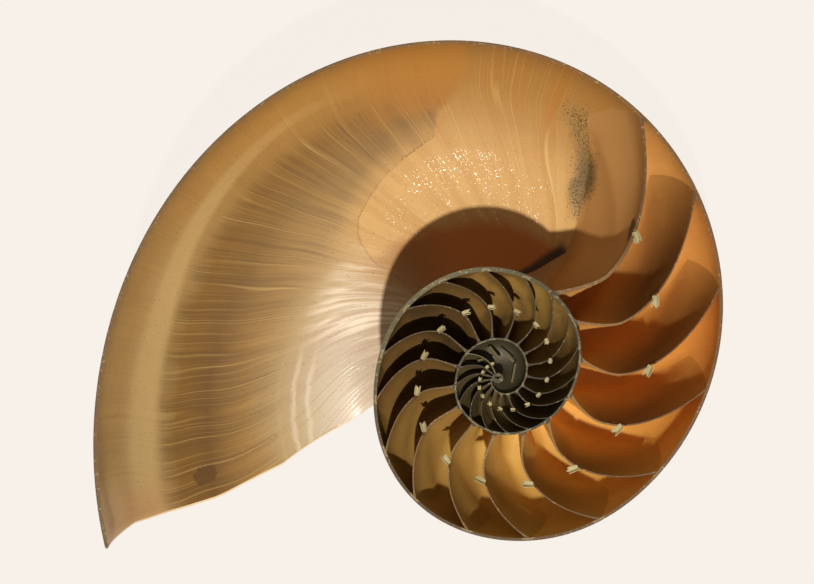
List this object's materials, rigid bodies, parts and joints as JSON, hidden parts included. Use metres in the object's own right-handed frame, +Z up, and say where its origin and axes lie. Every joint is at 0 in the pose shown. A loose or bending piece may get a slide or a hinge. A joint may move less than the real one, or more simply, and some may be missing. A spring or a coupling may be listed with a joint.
{
  "type": "nautilus shell half",
  "caption": "Half of a coiled nautilus shell, sawn through its plane of symmetry to show the open body chamber, curved septa and inner coil, lying on its convex side.",
  "frame": {"origin": "middle of the bounding box, on the surface that the shell lies on", "axes": "+Z up, +X across the coil from the mouth's tip to the chambered side, +Y towards the top of the body chamber's back; the sawn face looks up and is tipped 8 degrees towards +X"},
  "size_m": [0.1746, 0.1418, 0.0516],
  "materials": {
    "shell": "satin"
  },
  "bodies": {
    "root": {"nautilus_shell_half": "shell"}
  },
  "joints": []
}
